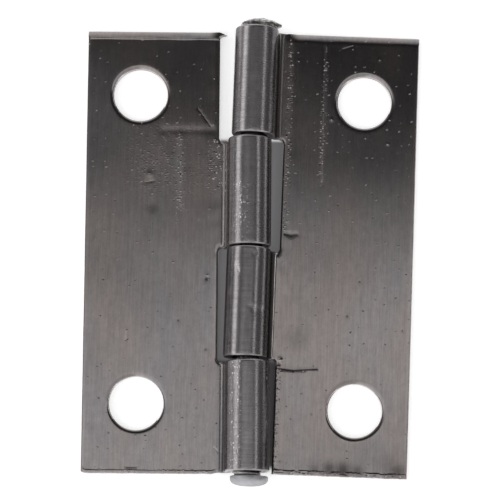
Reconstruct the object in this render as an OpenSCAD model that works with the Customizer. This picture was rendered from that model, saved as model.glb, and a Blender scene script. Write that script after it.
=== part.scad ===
// Plain steel butt hinge, lying open flat on its back.
// X runs across the hinge, Y along the pin towards its hammered end, Z up from the leaf backs.
// The origin lies under the middle of the pin, on the plane of the leaf backs.

/* [Leaves] */
// Length of each leaf along the pin
leaf_l = 50; // [36:1:90]
// Distance from the pin axis to the outer edge of a leaf
leaf_w = 18.4; // [14:0.1:40]
// Thickness of the sheet steel
sheet_t = 0.85; // [0.6:0.05:1]
// Radius rolled over by the shear on the two short edges of a leaf
edge_roll = 0.3; // [0.1:0.05:0.5]

/* [Knuckles] */
// Outer diameter of the rolled knuckles
knuckle_d = 4.9; // [4.6:0.1:6]
// Gap between the ends of neighbouring knuckles
knuckle_gap = 0.26; // [0.1:0.02:0.6]
// Inner radius of the bend where the sheet leaves the leaf for the knuckle
bend_r = 0.9; // [0.3:0.05:0.95]
// Width left open at the back, between the free end of the roll and the bend
seam_gap = 0.2; // [0.05:0.05:0.5]

/* [Slots] */
// Flat left between the foot of a bend and the line of the slots' long edges
slot_lip = 0.1; // [0.05:0.05:1]
// Gap between a knuckle's end and the end of its slot
slot_end_clear = 0.3; // [0.1:0.05:0.8]
// Radius of the inside corners of the slots
slot_corner_r = 0.6; // [0.2:0.05:0.9]

/* [Screw holes] */
// Diameter of the plain screw holes
hole_d = 6; // [3:0.1:7]
// Distance from a hole's centre to the outer edge of its leaf
hole_edge = 6; // [4.5:0.1:7]
// Distance from the holes to the ends of the leaf, before the shift below
hole_end = 7.5; // [5:0.1:12]
// Distance that the punch set the hole pair off the middle of the leaf
hole_shift = 0.15; // [0:0.05:0.5]
// Radius rolled over by the punch on the front rim of each hole
hole_roll = 0.2; // [0.05:0.05:0.3]

/* [Pin] */
// Diameter of the loose pin
pin_d = 2.6; // [2.2:0.05:2.9]
// Smallest clearance between the pin and a knuckle that leans on it
pin_clear = 0.02; // [0.01:0.01:0.1]
// Diameter of the domed head at the lower end
dome_d = 4.2; // [3.4:0.1:4.6]
// Height of the domed head
dome_h = 1.1; // [0.6:0.1:1.6]
// Height of the straight side below the crown of the domed head
dome_side = 0.35; // [0.1:0.05:0.5]
// Sideways set of the domed head off the pin axis
dome_shift = 0.5; // [0:0.05:0.6]
// Length of bare shank between the last knuckle and the domed head
shank_show = 0.5; // [0.2:0.05:1.5]
// Diameter of the hammered head at the upper end
peen_d = 4.5; // [3.8:0.1:4.8]
// Height of the hammered head
peen_h = 1.15; // [0.8:0.05:1.4]
// Height of the thin edge of the hammered head over the knuckle side of it
peen_edge = 0.6; // [0.3:0.05:0.65]
// Diameter of the underside of the hammered head, inside its thin edge
peen_seat_d = 4; // [3.9:0.1:4.4]
// Sideways spread of the hammered head off the pin axis
peen_shift = 0.5; // [0:0.05:0.6]
// Gap between the hammered head and the knuckle under it
peen_gap = 0.1; // [0.05:0.05:0.4]

/* [Hidden] */
$fn = 96;
// A cut reaches this far past the face that it goes through
over = 1;
// Knuckles along the pin, shared in turn by the two leaves
knuckles = 4;
pitch = leaf_l / knuckles;
knuckle_l = pitch - knuckle_gap;
knuckle_r = knuckle_d / 2;
bore_r = knuckle_r - sheet_t;
pin_r = pin_d / 2;
// Centre of the bend, both across the hinge and up
bend_x = knuckle_r + bend_r;
bend_z = sheet_t + bend_r;
// The roll ends where its outer corner comes within seam_gap of the back of the bend
seam_reach = bend_r + sheet_t + seam_gap;
centre_dist = sqrt(pow(bend_x, 2) + pow(knuckle_r - bend_z, 2));
centre_angle = atan((knuckle_r - bend_z) / bend_x);
seam_cos = (pow(knuckle_r, 2) + pow(centre_dist, 2) - pow(seam_reach, 2))
    / (2 * knuckle_r * centre_dist);
seam_angle = centre_angle + acos(seam_cos);
slot_x = bend_x + slot_lip;
hole_x = leaf_w - hole_edge;
hole_y = leaf_l / 2 - hole_end;
// The first knuckle of a leaf is outermost, so its pair is centred half a pitch off the middle
pivot_y = pitch / 2;
// Each leaf leans on the loose pin until its bores touch it, apart from the clearance
bore_reach = leaf_l / 2 - pivot_y;
lean = atan((bore_r - pin_r - pin_clear) / bore_reach);
// The hammer left two facets on the upper head, at these tilts
peen_tilts = [16, -12];
// Depth of the facets below the crown
peen_facet = 0.06;
// Width of the blunt rim round the hammered head
peen_land = 0.05;

// Quarter of a ring about the origin, in the corner where x and y are negative
module quarter_ring(inner_r, outer_r) {
    difference() {
        intersection() {
            circle(r = outer_r);
            translate([-outer_r, -outer_r]) square(outer_r);
        }
        circle(r = inner_r);
    }
}

// Section across a knuckle: up from the leaf, over the pin, down the far side and under
module roll_section() {
    translate([0, knuckle_r]) difference() {
        circle(r = knuckle_r);
        circle(r = bore_r);
        polygon([
            [0, 0],
            [3 * knuckle_r, 0],
            [3 * knuckle_r * cos(seam_angle), -3 * knuckle_r * sin(seam_angle)]
        ]);
    }
    translate([bore_r, bend_z]) square([sheet_t, knuckle_r - bend_z]);
    translate([bend_x, bend_z]) quarter_ring(bend_r, bend_r + sheet_t);
}

// One knuckle with its upper end at y_top
module roll(y_top) {
    translate([0, y_top, 0]) rotate([90, 0, 0])
        linear_extrude(knuckle_l) roll_section();
}

// Opening for the other leaf's knuckle, with round inside corners
module slot_outline(y_low, y_high) {
    translate([0, y_low]) square([slot_x - slot_corner_r, y_high - y_low]);
    translate([0, y_low + slot_corner_r])
        square([slot_x, y_high - y_low - 2 * slot_corner_r]);
    for (y = [y_low + slot_corner_r, y_high - slot_corner_r])
        translate([slot_x - slot_corner_r, y]) circle(r = slot_corner_r);
}

// Cut that rounds one short edge of the leaf over on the front
module edge_roll_cut() {
    rotate([90, 0, 90]) linear_extrude(leaf_w + over) difference() {
        translate([leaf_l / 2 - edge_roll, sheet_t - edge_roll]) square(edge_roll + over);
        translate([leaf_l / 2 - edge_roll, sheet_t - edge_roll]) circle(r = edge_roll);
    }
}

// Screw hole with the front rim rolled over by the punch
module hole_cut() {
    translate([0, 0, -over]) cylinder(d = hole_d, h = sheet_t + 2 * over);
    rotate_extrude() difference() {
        translate([0, sheet_t - hole_roll]) square([hole_d / 2 + hole_roll, hole_roll + over]);
        translate([hole_d / 2 + hole_roll, sheet_t - hole_roll]) circle(r = hole_roll);
    }
}

// One leaf as stamped and rolled, on the +X side; both leaves are this same stamping
module stamping() {
    difference() {
        linear_extrude(sheet_t) difference() {
            translate([bend_x, -leaf_l / 2]) square([leaf_w - bend_x, leaf_l]);
            slot_outline(-leaf_l / 2 - over - slot_corner_r, -pitch + slot_end_clear);
            slot_outline(-slot_end_clear, pitch + slot_end_clear);
        }
        edge_roll_cut();
        mirror([0, 1, 0]) edge_roll_cut();
        for (side = [-1, 1])
            translate([hole_x, side * hole_y - hole_shift, 0]) hole_cut();
    }
    roll(leaf_l / 2);
    roll(-knuckle_gap / 2);
}

module leaf_right() {
    color([0.42, 0.4, 0.4])
        translate([0, pivot_y, 0]) rotate([0, 0, -lean]) translate([0, -pivot_y, 0])
            stamping();
}

module leaf_left() {
    color([0.42, 0.4, 0.4])
        translate([0, -pivot_y, 0]) rotate([0, 0, lean]) translate([0, pivot_y, 0])
            rotate([0, 0, 180]) stamping();
}

// Radius of the sphere whose cap is d wide and h high
function cap_radius(d, h) = (pow(d / 2, 2) + pow(h, 2)) / (2 * h);

// Low button on the lower end of the pin, with its flat face at the origin
module dome() {
    crown_h = dome_h - dome_side;
    crown_r = cap_radius(dome_d, crown_h);
    rotate_extrude() intersection() {
        translate([0, dome_h - crown_r]) circle(r = crown_r);
        square([dome_d / 2, dome_h]);
    }
}

// Hammered head: a lens with a thin edge, spread over the end of the knuckle
module peen() {
    crown_h = peen_h - peen_edge - peen_land;
    crown_r = cap_radius(peen_d, crown_h);
    rotate_extrude() intersection() {
        translate([0, peen_h - crown_r]) circle(r = crown_r);
        polygon([
            [0, 0],
            [peen_seat_d / 2, 0],
            [peen_d / 2, peen_edge],
            [peen_d / 2, peen_h],
            [0, peen_h]
        ]);
    }
}

module pin() {
    color([0.6, 0.59, 0.58]) translate([0, 0, knuckle_r]) {
        rotate([90, 0, 0]) {
            translate([0, 0, -leaf_l / 2 - peen_gap - peen_h / 2])
                cylinder(r = pin_r, h = leaf_l + shank_show + peen_gap + peen_h / 2);
            translate([dome_shift, 0, leaf_l / 2 + shank_show]) dome();
        }
        translate([peen_shift, leaf_l / 2 + peen_gap, 0]) difference() {
            rotate([-90, 0, 0]) peen();
            for (tilt = peen_tilts)
                rotate([0, 0, tilt]) translate([-peen_d, peen_h - peen_facet, -peen_d])
                    cube([2 * peen_d, peen_h, 2 * peen_d]);
        }
    }
}

leaf_left();
leaf_right();
pin();
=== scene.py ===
import math

import bpy
import numpy as np
from mathutils import Matrix, Vector, kdtree, noise
from mathutils.geometry import delaunay_2d_cdt


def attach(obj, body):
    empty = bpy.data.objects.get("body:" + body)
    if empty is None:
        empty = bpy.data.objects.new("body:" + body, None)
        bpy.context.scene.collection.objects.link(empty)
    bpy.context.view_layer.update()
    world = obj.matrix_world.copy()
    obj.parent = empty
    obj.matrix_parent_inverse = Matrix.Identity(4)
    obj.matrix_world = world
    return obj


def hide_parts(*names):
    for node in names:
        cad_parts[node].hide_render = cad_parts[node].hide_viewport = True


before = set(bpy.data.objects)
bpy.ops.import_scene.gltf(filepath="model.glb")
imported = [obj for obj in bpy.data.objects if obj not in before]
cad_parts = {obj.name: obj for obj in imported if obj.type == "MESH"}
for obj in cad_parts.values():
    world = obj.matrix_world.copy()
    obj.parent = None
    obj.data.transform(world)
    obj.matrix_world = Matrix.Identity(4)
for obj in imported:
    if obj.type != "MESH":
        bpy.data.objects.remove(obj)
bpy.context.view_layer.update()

# Left leaf
# The real piece is sheet steel, blanked in a press and rolled round the pin at two tabs.
# It is built the same way: a flat blank with its tabs is meshed, marked, and then folded.
# The shear rolled its cut edges over on the front, and the bare steel kept its rolling grain.

MM = 0.001
leaf_length = 50.0
leaf_reach = 18.4
sheet = 0.85
knuckle_r = 2.45
bend_r = 0.9
seam_gap = 0.2
knuckle_gap = 0.26
slot_lip = 0.1
slot_end_clear = 0.3
slot_corner = 0.6
hole_r = 3.0
hole_x = leaf_reach - 6.0
hole_y = leaf_length / 2 - 7.5
hole_shift = 0.15
pin_r = 1.3
pin_clear = 0.02

end_y = leaf_length / 2
pitch = leaf_length / 4
knuckle_l = pitch - knuckle_gap
bore_r = knuckle_r - sheet
bend_x = knuckle_r + bend_r
bend_z = sheet + bend_r
slot_reach = bend_x + slot_lip
pivot_y = pitch / 2
lean = math.atan((bore_r - pin_r - pin_clear) / (end_y - pivot_y))

# Developed lengths of the tab: round the bend, up the straight, and round the pin
centre_gap = math.hypot(bend_x, knuckle_r - bend_z)
centre_angle = math.atan((knuckle_r - bend_z) / bend_x)
seam_reach = bend_r + sheet + seam_gap
seam_cos = (knuckle_r ** 2 + centre_gap ** 2 - seam_reach ** 2) / (2 * knuckle_r * centre_gap)
roll_turn = 2 * math.pi - centre_angle - math.acos(seam_cos)
bend_run = (bend_r + sheet / 2) * math.pi / 2
rise_run = knuckle_r - bend_z
roll_run = (bore_r + sheet / 2) * roll_turn
tab_end = bend_x - bend_run - rise_run - roll_run

# How each kind of cut edge is rolled over: its width, depth and power, the height and place of
# the ridge beside it, and the distances of the rows of points that show it
edge_rolls = {
    "soft_end": (0.95, 0.3, 1.65, 0.0, 0.0, (0.08, 0.18, 0.3, 0.45, 0.6, 0.78, 0.95, 1.1)),
    "creased_end": (0.8, 0.29, 1.3, 0.022, 0.8,
                    (0.1, 0.25, 0.4, 0.55, 0.66, 0.72, 0.77, 0.82, 0.87, 0.93, 1.0, 1.12)),
    "burred_end": (0.14, 0.05, 1.5, 0.015, 0.28, (0.05, 0.12, 0.19, 0.25, 0.31, 0.37, 0.46)),
    "torn_end": (0.14, 0.05, 1.5, 0.03, 0.4, (0.06, 0.14, 0.22, 0.29, 0.35, 0.41, 0.47, 0.55, 0.65)),
    "side": (0.16, 0.05, 2.0, 0.0, 0.0, (0.05, 0.16)),
    "slot": (0.3, 0.1, 2.0, 0.0, 0.0, (0.06, 0.14, 0.22, 0.34)),
    "rim": (0.2, 0.12, 2.0, 0.0, 0.0, (0.04, 0.09, 0.15, 0.22)),
    "tip": (0.1, 0.03, 2.0, 0.0, 0.0, (0.1,)),
    "hole": (0.5, 0.12, 3.0, 0.0, 0.0, (0.06, 0.14, 0.24, 0.36, 0.5)),
}
edge_step = 0.24
plate_step = 0.3
tab_step = (0.22, 0.3)


def straight(start, end, kind, step=edge_step):
    """Points along a straight cut, without its last one."""
    count = max(1, round(math.dist(start, end) / step))
    return [
        (start[0] + (end[0] - start[0]) * i / count, start[1] + (end[1] - start[1]) * i / count, kind)
        for i in range(count)
    ]


def corner(x, y, angle_a, angle_b, kind, radius=slot_corner, count=7):
    """Points along a round inside corner about (x, y), without its last one."""
    angles = [math.radians(angle_a + (angle_b - angle_a) * i / count) for i in range(count)]
    return [(x + radius * math.cos(a), y + radius * math.sin(a), kind) for a in angles]


def blank_outline(lower_end, upper_end, spur, burr):
    """The flat blank of a leaf on the +X side, counter-clockwise from its lower outer corner."""
    round_x = slot_reach - slot_corner
    step_x = bend_x - 0.45
    first_low = end_y - knuckle_l
    second_top = -knuckle_gap / 2
    second_low = second_top - knuckle_l
    cut = straight((leaf_reach, -end_y), (leaf_reach, end_y), "side")
    cut += straight((leaf_reach, end_y), (bend_x, end_y), upper_end)
    cut += straight((bend_x, end_y), (tab_end, end_y), "rim")
    cut += straight((tab_end, end_y), (tab_end, first_low), "tip")
    cut += straight((tab_end, first_low), (step_x, first_low), "rim")
    cut += straight((step_x, first_low), (round_x, pitch + slot_end_clear), "rim", 0.1)
    cut += corner(round_x, pitch + slot_end_clear - slot_corner, 90, 0, "slot")
    cut += straight(
        (slot_reach, pitch + slot_end_clear - slot_corner), (slot_reach, -slot_end_clear + slot_corner), "slot"
    )
    cut += corner(round_x, -slot_end_clear + slot_corner, 0, -90, "slot")
    cut += straight((round_x, -slot_end_clear), (step_x, second_top), "rim", 0.1)
    cut += straight((step_x, second_top), (tab_end, second_top), "rim")
    cut += straight((tab_end, second_top), (tab_end, second_low), "tip")
    cut += straight((tab_end, second_low), (step_x, second_low), "rim")
    cut += straight((step_x, second_low), (round_x, -pitch + slot_end_clear), "rim", 0.1)
    cut += corner(round_x, -pitch + slot_end_clear - slot_corner, 90, 0, "slot")
    if spur:
        # The shear drew this corner out into a thin burr that points at the knuckle
        spur_root, spur_tip = (slot_reach, -end_y + 0.62), (slot_reach - 0.72, -end_y + 0.3)
        cut += straight((slot_reach, -pitch + slot_end_clear - slot_corner), spur_root, "slot")
        cut += straight(spur_root, (slot_reach - 0.26, -end_y + 0.42), "tip", 0.1)
        cut += straight((slot_reach - 0.26, -end_y + 0.42), spur_tip, "tip", 0.1)
        cut += straight(spur_tip, (slot_reach + 0.1, -end_y), "tip", 0.1)
        cut += straight((slot_reach + 0.1, -end_y), (leaf_reach, -end_y), lower_end)
    else:
        cut += straight((slot_reach, -pitch + slot_end_clear - slot_corner), (slot_reach, -end_y), "slot")
        cut += straight((slot_reach, -end_y), (leaf_reach, -end_y), lower_end)
    # The shear's burr stands a little proud of the burred end, and is ragged
    ragged = []
    for x, y, kind in cut:
        if kind in ("burred_end", "torn_end") and slot_reach < x < leaf_reach:
            inset = min(1.0, (x - slot_reach) / 0.5, (leaf_reach - x) / 0.5)
            proud = burr + 0.05 * noise.noise((x * 0.9, y, 3.0)) + 0.03 * noise.noise((x * 4, y, 1.0))
            y += math.copysign(proud * inset, y)
        ragged.append((x, y, kind))
    return ragged


def hole_outline(y):
    """A screw hole, clockwise, so that its metal is on the same hand as the outline's."""
    count = 84
    angles = [-2 * math.pi * i / count for i in range(count)]
    return [(hole_x + hole_r * math.cos(a), y + hole_r * math.sin(a), "hole") for a in angles]


def tree_of(points):
    tree = kdtree.KDTree(len(points))
    for i, p in enumerate(points):
        tree.insert((p[0], p[1], 0), i)
    tree.balance()
    return tree


def in_metal(places, loops):
    """Tells which points a line from crosses the cuts an odd number of times, so lies in the metal."""
    inside = np.zeros(len(places), dtype=bool)
    for loop in loops:
        for (ax, ay, _), (bx, by, _) in zip(loop, loop[1:] + loop[:1]):
            if ay != by:
                spans = (places[:, 1] >= min(ay, by)) & (places[:, 1] < max(ay, by))
                cross = ax + (places[:, 1] - ay) * (bx - ax) / (by - ay)
                inside ^= spans & (places[:, 0] < cross)
    return inside


def mark_points(kind, x, y, *place):
    """Points of the mesh that let one mark show its shape."""
    points = []
    if kind in ("dent", "bump", "stain"):
        for ring in (0.0, 0.35, 0.7, 1.05, 1.4):
            for i in range(1 if ring == 0 else 10):
                angle = 2 * math.pi * i / 10 + ring
                reach = place[0] * ring
                points.append((x + reach * math.cos(angle), y + reach * math.sin(angle)))
    elif kind == "line":
        end_x, far_y, size = place[:3]
        length = math.dist((x, y), (end_x, far_y))
        count = max(2, round(length / max(0.12, 0.5 * size)))
        for i in range(count + 1):
            for aside in (-1.3, -0.6, 0.0, 0.6, 1.3):
                off = aside * size / length
                points.append((
                    x + (end_x - x) * i / count - (far_y - y) * off,
                    y + (far_y - y) * i / count + (end_x - x) * off,
                ))
    return points


def blank_mesh(loops, marks):
    """Triangulates the blank: its cut edges, rows of points beside them, and a grid between."""
    cuts = [p for loop in loops for p in loop]
    near_cut = tree_of(cuts)
    rows = []
    for loop in loops:
        for i, (x, y, kind) in enumerate(loop):
            before, after = loop[i - 1], loop[(i + 1) % len(loop)]
            along = Vector((after[0] - before[0], after[1] - before[1])).normalized()
            for off in edge_rolls[kind][5]:
                px, py = x - along.y * off, y + along.x * off
                if near_cut.find((px, py, 0))[2] > (0.04 if kind.endswith("end") else off * 0.93):
                    rows.append((px, py))
    for mark in marks:
        rows += mark_points(*mark)
    kept, step = [], 0.035
    taken = {}
    for p in rows:
        cell = (round(p[0] / step), round(p[1] / step))
        if cell not in taken and near_cut.find((p[0], p[1], 0))[2] > 0.02:
            taken[cell] = True
            kept.append(p)
    near_kept = tree_of(kept)
    grid = []
    for i in range(int((leaf_reach - bend_x) / plate_step)):
        for j in range(int(leaf_length / plate_step)):
            grid.append((bend_x + (i + 0.5) * plate_step, -end_y + (j + 0.5) * plate_step))
    for i in range(int((bend_x - tab_end) / tab_step[0])):
        for j in range(int(leaf_length / tab_step[1])):
            grid.append((tab_end + (i + 0.5) * tab_step[0], -end_y + (j + 0.5) * tab_step[1]))
    kept += [
        p for p in grid
        if near_kept.find((p[0], p[1], 0))[2] > 0.15 and near_cut.find((p[0], p[1], 0))[2] > 0.15
    ]
    kept = [p for p, solid in zip(kept, in_metal(np.array(kept), loops)) if solid]
    coords = [Vector((p[0], p[1])) for p in cuts] + [Vector(p) for p in kept]
    ring, start = [], 0
    for loop in loops:
        ring += [(start + i, start + (i + 1) % len(loop)) for i in range(len(loop))]
        start += len(loop)
    verts, _, faces, *_ = delaunay_2d_cdt(coords, ring, [], 0, 1e-6, False)
    flat = np.array([(v[0], v[1]) for v in verts])
    tris = np.array(faces)
    return flat, tris[in_metal(flat[tris].mean(axis=1), loops)]


def cut_distance(flat, loops):
    """Distance of each point of the blank from the nearest cut of each kind."""
    far = {}
    for kind in edge_rolls:
        points = []
        for loop in loops:
            for i, (x, y, name) in enumerate(loop):
                if name == kind:
                    nx, ny, _ = loop[(i + 1) % len(loop)]
                    points += [(x + (nx - x) * k / 4, y + (ny - y) * k / 4) for k in range(5)]
        if points:
            tree = tree_of(points)
            far[kind] = np.array([tree.find((x, y, 0))[2] for x, y in flat])
    return far


def soft(value, low, high):
    """Rises smoothly from 0 at low to 1 at high."""
    t = np.clip((value - low) / (high - low), 0, 1)
    return t * t * (3 - 2 * t)


def rough_field(x, y, scale, seed):
    """Smooth noise over the blank, from about -1 to 1."""
    return np.array([noise.noise((a / scale, b / scale, seed)) for a, b in zip(x, y)])


def apply_marks(x, y, marks):
    """Height of the marks in millimetres, and how stained, scraped or galled the steel is; the dark lines in the bends
    are painted shade, and the bright lines on the knuckles painted highlight.
    """
    height = np.zeros(len(x))
    stain, scrape_and_highlight, gall = np.zeros(len(x)), np.zeros(len(x)), np.zeros(len(x))
    for kind, *place in marks:
        if kind in ("dent", "bump", "stain"):
            cx, cy, size, depth, dark, bright = place
            near = np.exp(-(((x - cx) ** 2 + (y - cy) ** 2) / size ** 2) * 1.4)
            height += near * (depth if kind == "bump" else -depth)
            stain = np.maximum(stain, near * dark)
            scrape_and_highlight = np.maximum(scrape_and_highlight, near * bright)
        elif kind == "line":
            ax, ay, bx, by, size, depth, dark, bright = place
            run = np.array((bx - ax, by - ay))
            t = np.clip(((x - ax) * run[0] + (y - ay) * run[1]) / run.dot(run), 0, 1)
            wander = 0.35 * size * math.exp(-(size / 0.25) ** 2) * np.sin(t * 23 + ax * 5)
            side = np.hypot(x - ax - t * run[0] + wander, y - ay - t * run[1])
            near = np.exp(-(side / size) ** 2 * 1.4)
            height -= near * depth
            stain = np.maximum(stain, near * dark)
            scrape_and_highlight = np.maximum(scrape_and_highlight, near * bright)
        elif kind == "gall":
            low_x, low_y, high_x, high_y, blur, amount = place
            inside = soft(x, low_x - blur, low_x + blur) * (1 - soft(x, high_x - blur, high_x + blur))
            inside *= soft(y, low_y - blur, low_y + blur) * (1 - soft(y, high_y - blur, high_y + blur))
            gall = np.maximum(gall, inside * amount)
    return height, np.stack([stain, scrape_and_highlight, gall], axis=1)


def fold(x, y, h):
    """Takes points of the blank at height h over its back to where rolling put them."""
    run = bend_x - x
    px, pz = x.copy(), h.copy()
    bend = (run > 0) & (run <= bend_run)
    angle = run / (bend_r + sheet / 2)
    px[bend] = bend_x - (bend_z - h[bend]) * np.sin(angle[bend])
    pz[bend] = bend_z - (bend_z - h[bend]) * np.cos(angle[bend])
    rise = (run > bend_run) & (run <= bend_run + rise_run)
    px[rise] = bore_r + h[rise]
    pz[rise] = bend_z + run[rise] - bend_run
    roll = run > bend_run + rise_run
    angle = (run - bend_run - rise_run) / (bore_r + sheet / 2)
    px[roll] = (bore_r + h[roll]) * np.cos(angle[roll])
    pz[roll] = knuckle_r + (bore_r + h[roll]) * np.sin(angle[roll])
    return np.stack([px, y, pz], axis=1)


def build_leaf(name, marks, ends, spur, burr, waves, turned):
    """One leaf as a closed mesh. turned gives the left leaf, half a turn round from the right one."""
    loops = [blank_outline(*ends, spur, burr)]
    loops += [hole_outline(side * hole_y - hole_shift) for side in (-1, 1)]
    flat, tris = blank_mesh(loops, marks)
    x, y = flat[:, 0], flat[:, 1]
    far = cut_distance(flat, loops)
    drop = np.zeros(len(flat))
    nearest = np.full(len(flat), 9.0)
    ridge = np.zeros(len(flat))
    for kind in far:
        width, depth, power, ridge_h, ridge_at, _ = edge_rolls[kind]
        uneven = rough_field(x, y, 2.2, 4.0)
        share = np.clip(1 - far[kind] / (width * (1 + 0.12 * uneven)), 0, 1)
        if kind.endswith("end"):
            share *= soft(x, bend_x - 0.6, bend_x + 1.6) * 0.8 + 0.2
        drop = np.maximum(drop, depth * share ** power)
        nearest = np.minimum(nearest, far[kind])
        if ridge_h:
            torn = 0.4 * uneven
            if kind == "torn_end":
                # The shear tore this edge into long thin flakes
                torn = 0.5 * uneven + 1.2 * rough_field(x, y, 0.5, 8.0)
                flakes = rough_field(x * 0.5, y * 3.5, 0.45, 5.0)
                ridge += 0.05 * flakes * (1 - soft(far[kind], 0.35, 0.55))
            shape = np.exp(-((far[kind] - ridge_at - 0.03 * uneven) / 0.06) ** 2)
            ridge += ridge_h * shape * (1 + torn)
    height, marked = apply_marks(x, y, marks)
    on_plate = soft(x, bend_x, bend_x + 2)
    sway = rough_field(x, y, waves["length"], waves["seed"]) * waves["depth"] * on_plate
    ripple = rough_field(x, y, 1.6, waves["seed"] + 7) * 0.006 * (1 - on_plate)
    front = sheet - drop + ridge + (height + sway + ripple) * soft(nearest, -0.1, 0.5)
    # The cut edges are lighter: rubbed bright, and partly a painted highlight along the rims
    rubbed_edge_and_sheen = np.exp(-nearest / 0.12)

    sides = np.concatenate([tris[:, [0, 1]], tris[:, [1, 2]], tris[:, [2, 0]]])
    keys = np.sort(sides, axis=1)
    order = {}
    for i, key in enumerate(map(tuple, keys)):
        order.setdefault(key, []).append(i)
    open_sides = [tuple(sides[i[0]]) for i in order.values() if len(i) == 1]
    rim = sorted({v for side in open_sides for v in side})
    mid_of = {v: i for i, v in enumerate(rim)}
    count, rim_index = len(flat), np.array(rim)

    upper = fold(x, y, front)
    lower = fold(x, y, np.zeros(count))
    burnish = sheet * 0.5 - 0.02 * rough_field(x[rim_index], y[rim_index], 0.7, 2.0)
    middle = fold(x[rim_index], y[rim_index], burnish)
    points = np.concatenate([upper, lower, middle])
    faces = [tuple(t) for t in tris] + [tuple(t[::-1] + count) for t in tris]
    for a, b in open_sides:
        mid_a, mid_b = 2 * count + mid_of[a], 2 * count + mid_of[b]
        faces.append((b, a, mid_a, mid_b))
        faces.append((mid_b, mid_a, a + count, b + count))

    side = -1 if turned else 1
    points[:, :2] *= side
    turn = -lean * side
    centre = pivot_y * side
    shifted = points[:, 1] - centre
    leaned = points.copy()
    leaned[:, 0] = points[:, 0] * math.cos(turn) - shifted * math.sin(turn)
    leaned[:, 1] = points[:, 0] * math.sin(turn) + shifted * math.cos(turn) + centre

    mesh = bpy.data.meshes.new(name)
    mesh.from_pydata((leaned * MM).tolist(), [], [tuple(int(v) for v in f) for f in faces])
    mesh.validate()
    mesh.polygons.foreach_set("use_smooth", [True] * len(mesh.polygons))
    mesh.set_sharp_from_angle(angle=math.radians(38))
    wear_and_painted_light = mesh.attributes.new("wear_and_painted_light", "FLOAT_COLOR", "POINT")
    cells = np.zeros((len(points), 4), dtype=np.float32)
    cells[:count, :3] = marked
    cells[:count, 3] = rubbed_edge_and_sheen
    cells[count:2 * count, 3] = rubbed_edge_and_sheen * 0.5
    cells[2 * count:, 0] = 0.25
    wear_and_painted_light.data.foreach_set("color", cells.ravel())
    leaf = bpy.data.objects.new(name, mesh)
    bpy.context.scene.collection.objects.link(leaf)
    return leaf


def new_group(name, inputs, outputs):
    """An empty shader group with named float inputs and named outputs."""
    group = bpy.data.node_groups.new(name, "ShaderNodeTree")
    for label, value in inputs.items():
        socket = group.interface.new_socket(label, in_out="INPUT", socket_type="NodeSocketFloat")
        socket.default_value = value
    for label, kind in outputs.items():
        group.interface.new_socket(label, in_out="OUTPUT", socket_type=kind)
    return group, group.nodes.new("NodeGroupInput"), group.nodes.new("NodeGroupOutput")


def math_node(tree, operation, a, b=None, clamp=False):
    node = tree.nodes.new("ShaderNodeMath")
    node.operation = operation
    node.use_clamp = clamp
    for socket, value in zip(node.inputs, (a, b)):
        if hasattr(value, "is_output"):
            tree.links.new(value, socket)
        elif value is not None:
            socket.default_value = value
    return node.outputs[0]


def noise_node(tree, where, stretch, scale, detail, rough=0.55):
    """Noise at so many cells a metre, stretched by the three given factors."""
    mapping = tree.nodes.new("ShaderNodeMapping")
    mapping.inputs["Scale"].default_value = stretch
    tree.links.new(where, mapping.inputs["Vector"])
    cells = tree.nodes.new("ShaderNodeTexNoise")
    cells.inputs["Scale"].default_value = scale
    cells.inputs["Detail"].default_value = detail
    cells.inputs["Roughness"].default_value = rough
    tree.links.new(mapping.outputs["Vector"], cells.inputs["Vector"])
    return cells.outputs["Fac"]


def spread(tree, value, low, high, to_low=0.0, to_high=1.0):
    node = tree.nodes.new("ShaderNodeMapRange")
    node.interpolation_type = "SMOOTHSTEP"
    tree.links.new(value, node.inputs["Value"])
    for label, number in zip(("From Min", "From Max", "To Min", "To Max"), (low, high, to_low, to_high)):
        node.inputs[label].default_value = number
    return node.outputs["Result"]


def rolling_grain():
    """Fine lines that the rolling mill left along the sheet, and cloudy patches between them."""
    group, given, result = new_group(
        "rolling_grain", {"Across": 1.0, "Contrast": 1.0},
        {"Shade": "NodeSocketFloat", "Cloud": "NodeSocketFloat", "Height": "NodeSocketFloat"},
    )
    where = group.nodes.new("ShaderNodeTexCoord").outputs["Object"]
    fine = noise_node(group, where, (1.0, 0.035, 1.0), 11000, 3)
    broad = noise_node(group, where, (1.0, 0.05, 1.0), 3400, 4, 0.6)
    cloud = noise_node(group, where, (1.0, 0.4, 1.0), 150, 6, 0.62)
    lines = math_node(group, "ADD", math_node(group, "MULTIPLY", fine, 0.45), math_node(group, "MULTIPLY", broad, 0.55))
    centred = math_node(group, "SUBTRACT", lines, 0.5)
    shade = math_node(group, "MULTIPLY", centred, given.outputs["Contrast"])
    group.links.new(shade, result.inputs["Shade"])
    group.links.new(math_node(group, "SUBTRACT", cloud, 0.5), result.inputs["Cloud"])
    group.links.new(math_node(group, "MULTIPLY", fine, given.outputs["Across"]), result.inputs["Height"])
    return group


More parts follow.
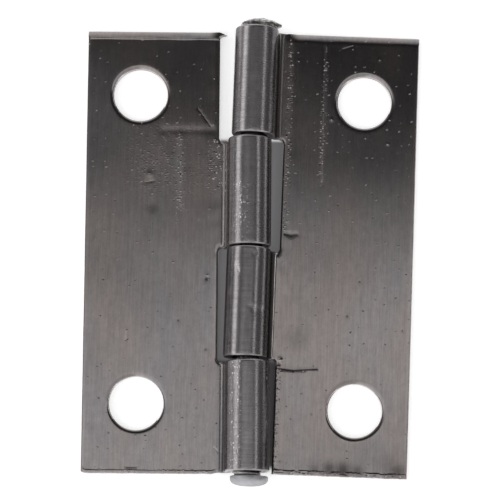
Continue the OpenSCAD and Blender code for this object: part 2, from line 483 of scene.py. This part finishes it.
def scattered_spots(name, scale, reach, chosen, ragged, through):
    """Ragged spots in some cells of a random pattern: their shape, and which way each one goes."""
    group, given, result = new_group(
        name, {"Amount": 1.0}, {"Spot": "NodeSocketFloat", "Raised": "NodeSocketFloat"},
    )
    where = group.nodes.new("ShaderNodeTexCoord").outputs["Object"]
    blur = noise_node(group, where, (1.0, 1.0, 1.0), 7000, 2)
    pull = group.nodes.new("ShaderNodeVectorMath")
    pull.operation = "MULTIPLY_ADD"
    group.links.new(blur, pull.inputs[0])
    pull.inputs[1].default_value = (ragged, ragged * 0.4, ragged)
    group.links.new(where, pull.inputs[2])
    cells = group.nodes.new("ShaderNodeTexVoronoi")
    cells.voronoi_dimensions = "2D" if through else "3D"
    cells.inputs["Scale"].default_value = scale
    group.links.new(pull.outputs["Vector"], cells.inputs["Vector"])
    luck = group.nodes.new("ShaderNodeSeparateColor")
    group.links.new(cells.outputs["Color"], luck.inputs["Color"])
    # Each spot has its own size
    size = spread(group, luck.outputs["Blue"], 0.0, 1.0, 0.45, 1.3)
    far = math_node(group, "DIVIDE", cells.outputs["Distance"], size)
    spot = spread(group, far, reach[0], reach[1], 1.0, 0.0)
    picked = spread(group, luck.outputs["Red"], chosen[0], chosen[1])
    spot = math_node(group, "MULTIPLY", math_node(group, "MULTIPLY", spot, picked), given.outputs["Amount"])
    group.links.new(spot, result.inputs["Spot"])
    way = spread(group, luck.outputs["Green"], 0.25, 0.45, -0.8, 1.0)
    group.links.new(math_node(group, "MULTIPLY", spot, way), result.inputs["Raised"])
    return group


grain_group = rolling_grain()
# Torn and pressed spots that the forming tools left, and grit pressed in here and there
pits_group = scattered_spots("galled_pits", 4200, (0.1, 0.5), (0.2, 0.6), 0.00012, False)
grit_group = scattered_spots("pressed_grit", 760, (0.01, 0.08), (0.3, 0.7), 0.0004, True)


def sheet_steel(name, tone, warm, roughness):
    """Bare cold-rolled steel, as the leaves show it."""
    material = bpy.data.materials.new(name)
    material.use_nodes = True
    tree = material.node_tree
    shader = tree.nodes["Principled BSDF"]
    shader.inputs["Metallic"].default_value = 1.0
    wear_and_painted_light = tree.nodes.new("ShaderNodeAttribute")
    wear_and_painted_light.attribute_name = "wear_and_painted_light"
    split = tree.nodes.new("ShaderNodeSeparateColor")
    tree.links.new(wear_and_painted_light.outputs["Color"], split.inputs["Color"])
    stain, scrape_and_highlight, gall = (split.outputs[c] for c in ("Red", "Green", "Blue"))
    rubbed_edge_and_sheen = wear_and_painted_light.outputs["Alpha"]
    grain = tree.nodes.new("ShaderNodeGroup")
    grain.node_tree = grain_group
    grain.inputs["Contrast"].default_value = 0.7
    pits = tree.nodes.new("ShaderNodeGroup")
    pits.node_tree = pits_group
    tree.links.new(gall, pits.inputs["Amount"])
    # The rolling die scuffed the knuckles duller than the leaf, in fine lines round them
    where = tree.nodes.new("ShaderNodeTexCoord").outputs["Object"]
    place = tree.nodes.new("ShaderNodeSeparateXYZ")
    tree.links.new(where, place.inputs["Vector"])
    barrel = spread(tree, math_node(tree, "ABSOLUTE", place.outputs["X"]), 2.4 * MM, 2.9 * MM, 1.0, 0.0)
    grit = tree.nodes.new("ShaderNodeGroup")
    grit.node_tree = grit_group
    tree.links.new(spread(tree, barrel, 0.0, 1.0, 1.0, 0.35), grit.inputs["Amount"])
    # Painted shade: the sides of the knuckles are darkened
    flank_shade = spread(tree, math_node(tree, "ABSOLUTE", place.outputs["X"]), 1.5 * MM, 2.1 * MM)
    flank_shade = math_node(tree, "MULTIPLY", flank_shade, barrel)
    scuffs = math_node(tree, "SUBTRACT", noise_node(tree, where, (0.06, 1.0, 0.06), 5200, 3), 0.5)
    scuffs = math_node(tree, "MULTIPLY", scuffs, barrel)
    mottle = math_node(tree, "SUBTRACT", noise_node(tree, where, (1.0, 0.7, 1.0), 1700, 5, 0.7), 0.5)

    tint = tree.nodes.new("ShaderNodeMix")
    tint.data_type = "RGBA"
    tree.links.new(spread(tree, grain.outputs["Cloud"], -0.15, 0.15), tint.inputs["Factor"])
    tint.inputs["A"].default_value = (*[c * tone for c in (0.99, 0.932, 0.947)], 1)
    tint.inputs["B"].default_value = (*[c * tone for c in warm], 1)
    level = math_node(tree, "ADD", grain.outputs["Shade"], 1.0)
    level = math_node(tree, "ADD", level, math_node(tree, "MULTIPLY", grain.outputs["Cloud"], 0.35))
    granules = math_node(tree, "MULTIPLY", pits.outputs["Spot"], barrel)
    # Besides grain and marks, this sum paints light: highlight along the cut edges and on the knuckles' sides, shade on
    # their flanks
    for part, share in ((pits.outputs["Raised"], 0.9), (grit.outputs["Raised"], 0.35), (scrape_and_highlight, 0.9),
                        (rubbed_edge_and_sheen, 0.65), (scuffs, 0.5), (barrel, -0.18), (flank_shade, -0.45),
                        (mottle, 0.5), (granules, 1.3)):
        level = math_node(tree, "ADD", level, math_node(tree, "MULTIPLY", part, share))
    # Stains darken the steel here, and so does the painted shade in the bends
    kept = math_node(tree, "SUBTRACT", 1.0, math_node(tree, "MULTIPLY", stain, 0.96), clamp=True)
    level = math_node(tree, "MULTIPLY", level, kept)
    # The scuffed knuckles have lost the leaf's warm tint
    cool = tree.nodes.new("ShaderNodeMix")
    cool.data_type = "RGBA"
    tree.links.new(barrel, cool.inputs["Factor"])
    tree.links.new(tint.outputs["Result"], cool.inputs["A"])
    cool.inputs["B"].default_value = (*[c * tone for c in (0.985, 0.925, 0.95)], 1)
    colour = tree.nodes.new("ShaderNodeVectorMath")
    colour.operation = "SCALE"
    tree.links.new(cool.outputs["Result"], colour.inputs["Vector"])
    tree.links.new(level, colour.inputs["Scale"])
    tree.links.new(colour.outputs["Vector"], shader.inputs["Base Color"])

    rough = math_node(tree, "ADD", math_node(tree, "MULTIPLY", grain.outputs["Shade"], -0.05), roughness)
    rough = math_node(tree, "ADD", rough, math_node(tree, "MULTIPLY", grain.outputs["Cloud"], 0.08))
    rough = math_node(tree, "ADD", rough, math_node(tree, "MULTIPLY", gall, 0.05))
    rough = math_node(tree, "ADD", rough, math_node(tree, "MULTIPLY", barrel, 0.15))
    rough = math_node(tree, "ADD", rough, math_node(tree, "MULTIPLY", scuffs, -0.12))
    rough = math_node(tree, "ADD", rough, math_node(tree, "MULTIPLY", stain, 0.3), clamp=True)
    tree.links.new(rough, shader.inputs["Roughness"])

    lines = tree.nodes.new("ShaderNodeBump")
    lines.inputs["Distance"].default_value = 0.0000025
    tree.links.new(grain.outputs["Height"], lines.inputs["Height"])
    torn = tree.nodes.new("ShaderNodeBump")
    torn.inputs["Distance"].default_value = 0.00003
    tree.links.new(pits.outputs["Raised"], torn.inputs["Height"])
    tree.links.new(lines.outputs["Normal"], torn.inputs["Normal"])
    gritty = tree.nodes.new("ShaderNodeBump")
    gritty.inputs["Distance"].default_value = 0.000016
    tree.links.new(grit.outputs["Raised"], gritty.inputs["Height"])
    tree.links.new(torn.outputs["Normal"], gritty.inputs["Normal"])
    tree.links.new(gritty.outputs["Normal"], shader.inputs["Normal"])
    return material


# Marks on the left leaf, from the pin axis and the middle of the hinge, in millimetres:
# dents, bumps and stains as x, y, size, depth, dark, bright; lines as two ends, width and the same
left_marks = [
    ("line", -9.74, 13.57, -4.2, 13.63, 0.5, 0.009, 0.0, 0.2),
    ("line", -7.8, 13.2, -7.75, 5.15, 0.4, -0.006, 0.0, 0.3),
    ("line", -6.9, 12.7, -6.8, 9.6, 0.8, 0.004, 0.22, 0.0),
    ("line", -8.9, 12.6, -8.6, 11.4, 0.6, 0.003, 0.2, 0.0),
    ("line", -5.81, 16.04, -4.37, 14.03, 0.06, 0.004, 0.0, 0.7),
    ("dent", -10.86, 4.83, 0.7, 0.008, 0.35, 0.0),
    ("bump", -11.25, 8.5, 0.45, 0.01, 0.0, 0.15),
    ("line", -11.7, 7.6, -10.8, 7.75, 0.12, 0.004, 0.0, 0.15),
    ("dent", -4.7, -3.31, 0.22, 0.012, 0.7, 0.0),
    ("bump", -4.62, -2.95, 0.14, 0.006, 0.0, 0.5),
    ("stain", -7.82, -8.04, 0.13, 0.004, 0.6, 0.0),
    ("stain", -4.72, -11.27, 0.2, 0.004, 0.4, 0.0),
    ("line", -3.71, -22.17, -3.15, -22.72, 0.06, 0.008, 0.0, 0.7),
    ("line", -13.62, -9.39, -13.61, -10.4, 0.05, 0.004, 0.0, 0.5),
    # Painted shade, with some dirt: these two lines darken the inside of the bends beside the knuckles
    ("line", -2.6, 0.4, -2.6, 12.1, 0.7, 0.0, 0.5, 0.0),
    ("line", -2.6, -24.8, -2.6, -13.0, 0.7, 0.0, 0.42, 0.0),
    # Painted highlight: these four lines lighten the sides of the knuckles
    ("line", -1.2, -24.8, -1.2, -13.0, 0.9, 0.0, 0.0, 1.3),
    ("line", -1.3, 0.4, -1.3, 12.1, 1.0, 0.0, 0.0, 0.8),
    ("line", -0.1, 0.4, -0.1, 12.1, 1.3, 0.0, 0.0, 0.5),
    ("line", -0.1, -24.8, -0.1, -13.0, 1.3, 0.0, 0.0, 0.6),
    ("line", -13.3, -24.5, -12.3, -24.5, 0.08, 0.01, 0.6, 0.0),
    ("gall", -18.4, -25.3, -3.5, -24.72, 0.06, 0.8),
    ("stain", -2.95, 24.6, 0.5, 0.0, 0.75, 0.0),
    ("stain", -8.9, 12.2, 1.1, 0.002, 0.16, 0.0),
    ("stain", -6.0, 11.8, 1.8, 0.002, 0.2, 0.0),
    ("stain", -4.6, 5.5, 1.5, 0.002, 0.18, 0.0),
    ("gall", -4.4, 6.6, -2.2, 12.6, 0.3, 1.0),
    ("gall", -8.15, 3.0, -7.55, 13.0, 0.25, 0.35),
    ("gall", -13.2, 6.5, -5.5, 14.0, 2.5, 0.09),
    ("gall", 0.5, -25.0, 1.9, -12.4, 0.3, 1.0),
    ("gall", 4.6, -25.0, 5.2, -12.4, 0.2, 0.7),
    ("gall", 1.0, 0.0, 2.4, 7.0, 0.4, 0.8),
]
# The blank is drawn on the +X side, so the left leaf's marks go half a turn round with it
turned_marks = []
for kind, *place in left_marks:
    if kind == "line":
        turned_marks.append((kind, *[-v for v in place[:4]], *place[4:]))
    elif kind == "gall":
        low_x, low_y, high_x, high_y = place[:4]
        turned_marks.append((kind, -high_x, -high_y, -low_x, -low_y, *place[4:]))
    else:
        turned_marks.append((kind, -place[0], -place[1], *place[2:]))

leaf_left = build_leaf(
    "left_leaf_steel", turned_marks, ends=("creased_end", "burred_end"), spur=True, burr=0.14,
    waves={"length": 9.0, "depth": 0.02, "seed": 3.0}, turned=True,
)
leaf_steel = sheet_steel("cold_rolled_steel", 0.285, (1.0, 0.885, 0.855), 0.11)
leaf_left.data.materials.append(leaf_steel)
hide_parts("leaf_left")
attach(leaf_left, "fixed_leaf")

# Right leaf
# The same stamping as the left one, half a turn round, with the first and third knuckle.
# It has a split line below the third knuckle and a gouge beside the second one's slot.

right_marks = [
    ("line", 7.71, 24.09, 7.92, 7.88, 0.09, 0.002, 0.0, 0.3),
    ("line", 3.9, 1.98, 4.6, 1.86, 0.09, 0.01, 0.8, 0.0),
    ("line", 4.45, 1.8, 5.3, 1.92, 0.14, 0.01, 0.7, 0.0),
    ("line", 3.75, -13.2, 5.4, -13.36, 0.07, 0.014, 0.7, 0.0),
    ("line", 5.4, -13.36, 8.1, -13.12, 0.06, 0.01, 0.6, 0.0),
    ("dent", 3.8, -12.75, 0.25, 0.03, 0.5, 0.0),
    ("bump", 4.0, -12.3, 0.25, 0.03, 0.0, 0.4),
    ("line", 9.77, 23.42, 10.92, 23.84, 0.09, 0.006, 0.0, 0.9),
    ("bump", 4.83, 21.87, 0.08, 0.01, 0.0, 0.9),
    ("bump", 13.97, 22.35, 0.08, 0.01, 0.0, 0.9),
    ("bump", 7.75, 19.66, 0.08, 0.01, 0.0, 0.9),
    ("bump", 8.75, 15.24, 0.08, 0.01, 0.0, 0.9),
    ("bump", 15.17, 12.66, 0.08, 0.01, 0.0, 0.9),
    ("stain", 12.5, -3.12, 0.1, 0.004, 0.6, 0.0),
    ("stain", 11.23, -7.08, 0.12, 0.004, 0.6, 0.0),
    ("stain", 17.43, -8.48, 0.1, 0.004, 0.6, 0.0),
    ("stain", 7.64, -18.23, 0.12, 0.004, 0.5, 0.0),
    ("line", -2.1, -7.0, -0.6, -7.0, 0.36, 0.05, 0.0, 0.5),
    ("dent", -2.0, -1.0, 0.3, 0.05, 0.2, 0.2),
    ("line", -3.75, -2.2, -3.5, -3.1, 0.14, 0.03, 0.0, 0.3),
    ("stain", -2.2, 21.5, 0.35, 0.004, 0.4, 0.0),
    ("stain", 5.7, -9.9, 1.4, 0.001, 0.14, 0.0),
    ("stain", 16.5, -23.6, 1.6, 0.001, 0.2, 0.0),
    ("gall", 3.82, 2.0, 4.12, 25.0, 0.08, 1.0),
    ("gall", 7.7, 7.9, 7.95, 24.0, 0.08, 0.6),
    ("gall", 3.5, -24.4, 4.05, -13.0, 0.1, 1.0),
    # Painted shade, with some dirt: these three lines darken the inside of the bends beside the knuckles
    ("line", 1.9, 24.8, 1.9, 13.0, 0.9, 0.0, 0.3, 0.0),
    ("line", 1.75, -0.4, 1.75, -12.1, 0.6, 0.0, 0.85, 0.0),
    ("line", 2.7, 24.8, 2.7, 13.0, 0.9, 0.0, 0.6, 0.0),
    ("gall", 3.5, -25.2, 18.4, -24.62, 0.08, 1.0),
    ("stain", 8.2, -24.25, 0.7, 0.0, 0.35, 0.0),
    ("stain", 9.8, -24.2, 0.9, 0.0, 0.55, 0.0),
    ("stain", 11.3, -24.3, 1.0, 0.0, 0.65, 0.0),
    ("stain", 12.9, -24.3, 0.8, 0.0, 0.45, 0.0),
    ("stain", 17.3, -24.2, 1.0, 0.0, 0.5, 0.0),
    ("stain", 4.3, -23.6, 0.2, 0.0, 0.3, 0.0),
]
leaf_right = build_leaf(
    "right_leaf_steel", right_marks, ends=("torn_end", "soft_end"), spur=False, burr=-0.02,
    waves={"length": 11.0, "depth": 0.02, "seed": 12.0}, turned=False,
)
leaf_right.data.materials.append(leaf_steel)
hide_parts("leaf_right")
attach(leaf_right, "swing_leaf")

# Pin
# Drawn steel wire, loose in the four knuckles. Its lower end is formed into a low dome, and
# its upper end was spread with a hammer once the hinge was together, which left it ragged.

dome_r = 2.1
dome_h = 1.1
dome_side = 0.3
dome_flat = 0.78
dome_shift = 0.5
shank_show = 0.5
peen_r = 2.25
peen_h = 1.15
peen_edge = 0.6
peen_land = 0.05
peen_seat_r = 2.0
peen_gap = 0.1
peen_shift = 0.5
around = 96


def turned_ring(y, radius, centre_x=0.0):
    """One ring of points about the pin axis, all at height y along it."""
    turns = [2 * math.pi * i / around for i in range(around)]
    return [(centre_x + radius * math.cos(a), y, knuckle_r + radius * math.sin(a)) for a in turns]


def cap_ring_sizes(base_r, height, count):
    """Rings of a spherical cap, from its rim up to near its top: radius and height over the rim."""
    cap_r = (base_r ** 2 + height ** 2) / (2 * height)
    widest = math.asin(base_r / cap_r)
    angles = [widest * (1 - i / count) for i in range(count)]
    return [(cap_r * math.sin(a), height - cap_r * (1 - math.cos(a))) for a in angles]


def pin_rings():
    """Rings from the crown of the lower head, up the shank and over the hammered head."""
    rings = []
    foot = -end_y - shank_show
    for i in range(1, 25):
        turn = math.radians(90 * i / 24)
        radius = dome_r * math.sin(turn) ** dome_flat
        lift = (dome_h - dome_side) * math.cos(turn) ** dome_flat
        rings.append(turned_ring(foot - dome_side - lift, radius, dome_shift))
    for down, radius in ((0.1, dome_r), (0.03, dome_r - 0.03), (0.0, dome_r - 0.1)):
        rings.append(turned_ring(foot - down, radius, dome_shift))
    rings.append(turned_ring(foot, pin_r + 0.05, dome_shift * 0.6))
    for up, radius in ((0.05, pin_r + 0.06), (0.13, pin_r + 0.15), (0.22, pin_r + 0.2), (0.34, pin_r + 0.19),
                       (0.44, pin_r + 0.12), (0.48, pin_r + 0.01)):
        rings.append(turned_ring(foot + up, radius, dome_shift * 0.6 * (1 - (up / 0.5) ** 6)))
    head = end_y + peen_gap
    for i in range(41):
        rings.append(turned_ring(foot + 0.5 + (head - foot - 0.56) * i / 40, pin_r))
    rings.append(turned_ring(head, pin_r, 0.0))
    for share in (0.3, 0.65, 1.0):
        radius = pin_r + (peen_seat_r - pin_r) * share
        rings.append(turned_ring(head, radius, peen_shift * share))
    for share in (0.3, 0.6, 0.85, 1.0):
        radius = peen_seat_r + (peen_r - peen_seat_r) * share
        rings.append(turned_ring(head + peen_edge * share, radius, peen_shift))
    rim = head + peen_edge + peen_land
    crown = cap_ring_sizes(peen_r, peen_h - peen_edge - peen_land, 22)
    rings += [turned_ring(rim + lift, radius, peen_shift) for radius, lift in crown]
    return rings


def hammered(point):
    """Dents and ragged edges that the hammer left on the upper head, inside its plain form."""
    x, y, z = point
    head = end_y + peen_gap
    if y < head + 0.01:
        return point
    lift = min((y - head) / peen_h, 1.0)
    out = math.hypot(x - peen_shift, z - knuckle_r) / peen_r
    angle = math.atan2(z - knuckle_r, x - peen_shift)
    ragged = noise.noise((2.1 * math.cos(angle), 2.1 * math.sin(angle), 4.0))
    ragged += 0.6 * noise.noise((6 * math.cos(angle), 6 * math.sin(angle), lift * 2))
    pull = 1 - 0.03 * out ** 4 * (1 + ragged)
    dents = noise.noise((x * 1.6, z * 1.6, 5.0)) + 0.5 * noise.noise((x * 4.5, z * 4.5, 2.0))
    dents += 0.3 * noise.noise((x * 9, z * 9, 6.0))
    low_side = max(0.0, (x - peen_shift) / peen_r)
    rim = min(2 * lift, 1.0) * min(out, 1.0) ** 2
    sink = lift * (0.1 + 0.1 * dents) + rim * (0.14 + 0.12 * low_side)
    spread_out = 0.12 * rim + 0.24 * rim * low_side ** 2
    tuck = 1 - 0.1 * (1 - min(2 * lift, 1.0)) * min(out, 1.0) ** 4
    return (
        peen_shift + (x - peen_shift) * pull * tuck + spread_out,
        y - sink, knuckle_r + (z - knuckle_r) * pull * tuck,
    )


rings = pin_rings()
pin_points = [hammered(p) for ring in rings for p in ring]
crown = len(pin_points)
pin_points.append((dome_shift, -end_y - shank_show - dome_h, knuckle_r))
pin_points.append(hammered((peen_shift, end_y + peen_gap + peen_h, knuckle_r)))
pin_faces = []
for r in range(len(rings) - 1):
    for i in range(around):
        a, b = r * around + i, r * around + (i + 1) % around
        pin_faces.append((a, a + around, b + around, b))
last = (len(rings) - 1) * around
for i in range(around):
    pin_faces.append((crown, i, (i + 1) % around))
    pin_faces.append((crown + 1, last + (i + 1) % around, last + i))
pin_mesh = bpy.data.meshes.new("pin_wire")
pin_mesh.from_pydata([tuple(v * MM for v in p) for p in pin_points], [], pin_faces)
pin_mesh.polygons.foreach_set("use_smooth", [True] * len(pin_mesh.polygons))
pin_mesh.set_sharp_from_angle(angle=math.radians(50))
pin_wire = bpy.data.objects.new("pin_wire", pin_mesh)
bpy.context.scene.collection.objects.link(pin_wire)


def wire_steel():
    """Drawn wire, bright and smooth on the shank and dome, bruised on the hammered head."""
    material = bpy.data.materials.new("drawn_wire_steel")
    material.use_nodes = True
    tree = material.node_tree
    shader = tree.nodes["Principled BSDF"]
    shader.inputs["Metallic"].default_value = 1.0
    where = tree.nodes.new("ShaderNodeTexCoord").outputs["Object"]
    place = tree.nodes.new("ShaderNodeSeparateXYZ")
    tree.links.new(where, place.inputs["Vector"])
    at_head = spread(tree, place.outputs["Y"], (end_y - 0.3) * MM, end_y * MM)
    at_dome = spread(tree, place.outputs["Y"], (-end_y - shank_show + 0.1) * MM, (-end_y - shank_show - 0.1) * MM)
    bruise = noise_node(tree, where, (1.0, 1.0, 1.0), 1900, 4, 0.65)
    dull = noise_node(tree, where, (1.0, 1.0, 1.0), 700, 4, 0.6)
    pits = tree.nodes.new("ShaderNodeGroup")
    pits.node_tree = pits_group
    tree.links.new(at_head, pits.inputs["Amount"])
    tint = tree.nodes.new("ShaderNodeMix")
    tint.data_type = "RGBA"
    tint.inputs["A"].default_value = (0.5, 0.49, 0.48, 1)
    tint.inputs["B"].default_value = (0.45, 0.445, 0.465, 1)
    tree.links.new(at_dome, tint.inputs["Factor"])
    level = spread(tree, bruise, 0.38, 0.64, 0.35, 1.45)
    # Painted shade: the wire is darkened inside the knuckles, where the gaps between them show it
    inside = spread(tree, place.outputs["Y"], (-end_y - 0.06) * MM, (-end_y + 0.04) * MM, 1.0, 0.1)
    plain = math_node(tree, "MULTIPLY", spread(tree, dull, 0.3, 0.7, 0.78, 1.1), inside)
    mixed = tree.nodes.new("ShaderNodeMix")
    tree.links.new(at_head, mixed.inputs["Factor"])
    tree.links.new(plain, mixed.inputs["A"])
    tree.links.new(level, mixed.inputs["B"])
    colour = tree.nodes.new("ShaderNodeVectorMath")
    colour.operation = "SCALE"
    tree.links.new(tint.outputs["Result"], colour.inputs["Vector"])
    tree.links.new(mixed.outputs["Result"], colour.inputs["Scale"])
    tree.links.new(colour.outputs["Vector"], shader.inputs["Base Color"])
    rough = math_node(tree, "ADD", math_node(tree, "MULTIPLY", inside, 0.25), 0.2)
    rough = math_node(tree, "ADD", rough, math_node(tree, "MULTIPLY", dull, 0.12))
    tree.links.new(rough, shader.inputs["Roughness"])
    bump = tree.nodes.new("ShaderNodeBump")
    bump.inputs["Distance"].default_value = 0.00008
    tree.links.new(pits.outputs["Spot"], bump.inputs["Height"])
    tree.links.new(bump.outputs["Normal"], shader.inputs["Normal"])
    return material


pin_wire.data.materials.append(wire_steel())
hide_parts("pin")
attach(pin_wire, "fixed_leaf")

# Studio
# A white table, painted grey as shade under the slots, a soft white room with a dark gap overhead
# behind the hinge, and two long soft lamps beside it that draw the bright lines along the knuckles.

table_mesh = bpy.data.meshes.new("table")
half = 3.0
table_mesh.from_pydata([(-half, -half, 0), (half, -half, 0), (half, half, 0), (-half, half, 0)], [], [(0, 1, 2, 3)])
table = bpy.data.objects.new("table", table_mesh)
bpy.context.scene.collection.objects.link(table)
table_paint = bpy.data.materials.new("white_table_with_slot_shade")
table_paint.use_nodes = True
tree = table_paint.node_tree
paint = tree.nodes["Principled BSDF"]
paint.inputs["Roughness"].default_value = 1.0
paint.inputs["Specular IOR Level"].default_value = 0.0
paint.inputs["Emission Color"].default_value = (1, 1, 1, 1)
# The table is white to the camera and in the steel; where it shows through the slots it is painted grey as shade,
# darker beside the lowest knuckle
place = tree.nodes.new("ShaderNodeSeparateXYZ")
tree.links.new(tree.nodes.new("ShaderNodeTexCoord").outputs["Object"], place.inputs["Vector"])
beside = math_node(tree, "ABSOLUTE", place.outputs["X"])
slot_shade = spread(tree, beside, 3.45 * MM, 3.7 * MM, 1.0, 0.0)
slot_shade = math_node(tree, "MULTIPLY", slot_shade, spread(tree, place.outputs["Y"], 12.4 * MM, 12.9 * MM, 1.0, 0.0))
slot_shade = math_node(tree, "MULTIPLY", slot_shade, spread(tree, place.outputs["Y"], -24.8 * MM, -24.0 * MM))
white_and_slot_shade = tree.nodes.new("ShaderNodeMix")
white_and_slot_shade.data_type = "RGBA"
white_and_slot_shade.inputs["A"].default_value = (0.9, 0.9, 0.9, 1)
white_and_slot_shade.inputs["B"].default_value = (0.22, 0.205, 0.22, 1)
tree.links.new(slot_shade, white_and_slot_shade.inputs["Factor"])
tree.links.new(white_and_slot_shade.outputs["Result"], paint.inputs["Base Color"])
seen = tree.nodes.new("ShaderNodeLightPath")
shown = math_node(tree, "MAXIMUM", seen.outputs["Is Camera Ray"], seen.outputs["Is Glossy Ray"])
shown = math_node(tree, "MAXIMUM", shown, seen.outputs["Is Transmission Ray"])
deeper_slot_shade = spread(tree, place.outputs["Y"], -12.8 * MM, -12.2 * MM, 0.98, 0.86)
plain = math_node(tree, "SUBTRACT", 1.0, math_node(tree, "MULTIPLY", slot_shade, deeper_slot_shade))
glow = math_node(tree, "MULTIPLY", math_node(tree, "MULTIPLY", shown, plain), 0.55)
tree.links.new(glow, paint.inputs["Emission Strength"])
table.data.materials.append(table_paint)

room = bpy.data.worlds.new("soft_room")
bpy.context.scene.world = room
room.use_nodes = True
tree = room.node_tree
sky = tree.nodes["Background"]
sky.inputs["Color"].default_value = (1, 1, 1, 1)
direction = tree.nodes.new("ShaderNodeSeparateXYZ")
tree.links.new(tree.nodes.new("ShaderNodeTexCoord").outputs["Generated"], direction.inputs["Vector"])
# How far a direction leans to the back of the table, and how far to its sides
back_lean = math_node(tree, "ARCSINE", direction.outputs["Y"])
side_lean = math_node(tree, "ARCTAN2", direction.outputs["X"], direction.outputs["Z"])
aside = spread(tree, math_node(tree, "ABSOLUTE", side_lean), math.radians(24), math.radians(50))
to_right = spread(tree, side_lean, math.radians(-2.5), math.radians(2.5))
# The dark part begins a little behind upright, more sharply on the right, and further forward aside
edge_start = math_node(tree, "ADD", math_node(tree, "MULTIPLY", to_right, math.radians(4.5)), math.radians(3.4))
edge_start = math_node(tree, "SUBTRACT", edge_start, math_node(tree, "MULTIPLY", aside, math.radians(40)))
edge_end = math_node(tree, "ADD", math_node(tree, "MULTIPLY", to_right, math.radians(-3.6)), math.radians(14.9))
edge_end = math_node(tree, "SUBTRACT", edge_end, math_node(tree, "MULTIPLY", aside, math.radians(35)))
near_edge = tree.nodes.new("ShaderNodeMapRange")
near_edge.interpolation_type = "SMOOTHSTEP"
for label, value in (("Value", back_lean), ("From Min", edge_start), ("From Max", edge_end)):
    tree.links.new(value, near_edge.inputs[label])
far_edge = spread(tree, back_lean, math.radians(30), math.radians(66), 1.0, 0.0)
dark_part = math_node(tree, "MULTIPLY", near_edge.outputs["Result"], far_edge)
wall_left = spread(tree, side_lean, math.radians(-48), math.radians(-10), 0.2, 0.0)
wall_right = spread(tree, side_lean, math.radians(12), math.radians(48), 0.0, 0.1)
dark_level = math_node(tree, "ADD", math_node(tree, "ADD", wall_left, wall_right), 0.042)
drop = math_node(tree, "MULTIPLY", dark_part, math_node(tree, "SUBTRACT", 1.0, dark_level))
# The bright part dims a little towards the front on the right
front_dim = math_node(tree, "MULTIPLY", to_right, spread(tree, back_lean, math.radians(3.5), math.radians(8), 0.36, 0.0))
front_dim = math_node(tree, "MULTIPLY", front_dim, math_node(tree, "SUBTRACT", 1.0, aside))
level = math_node(tree, "SUBTRACT", math_node(tree, "SUBTRACT", 1.0, drop), front_dim)
tree.links.new(level, sky.inputs["Strength"])


def strip_lamp(name, side_angle, distance, width, power):
    """A long soft lamp along the hinge, at an angle to one side of upright."""
    lamp = bpy.data.lights.new(name, "AREA")
    lamp.shape = "RECTANGLE"
    lamp.size = width
    lamp.size_y = 0.7
    lamp.energy = power
    holder = bpy.data.objects.new(name, lamp)
    bpy.context.scene.collection.objects.link(holder)
    away = Vector((math.sin(side_angle), 0.0, math.cos(side_angle)))
    holder.location = away * distance
    across = Vector((0, 1, 0)).cross(away)
    holder.matrix_world = Matrix.Translation(away * distance) @ Matrix((across, (0, 1, 0), away)).transposed().to_4x4()


strip_lamp("left_strip", math.radians(-62), 0.5, 0.2, 0.85)
strip_lamp("right_strip", math.radians(46), 0.5, 0.07, 0.27)

# The camera looks down on the hinge from a little towards the domed end of the pin
view_tilt = math.radians(9.34)
view_roll = math.radians(1.35)
view_distance = 0.307
view_focus = Vector((0.00003, 0.00011, 0.0))
back = Vector((0.0, -math.sin(view_tilt), math.cos(view_tilt)))
right = Vector((1.0, 0.0, 0.0))
up = back.cross(right)
camera_data = bpy.data.cameras.new("camera")
camera_data.sensor_width = 36.0
camera_data.lens = 196.8
camera_data.clip_start = 0.01
camera = bpy.data.objects.new("camera", camera_data)
bpy.context.scene.collection.objects.link(camera)
turn = Matrix((
    right * math.cos(view_roll) + up * math.sin(view_roll),
    up * math.cos(view_roll) - right * math.sin(view_roll),
    back,
)).transposed()
camera.matrix_world = Matrix.Translation(view_focus + back * view_distance) @ turn.to_4x4()
bpy.context.scene.camera = camera
bpy.context.scene.view_settings.view_transform = "Standard"

bpy.context.view_layer.update()
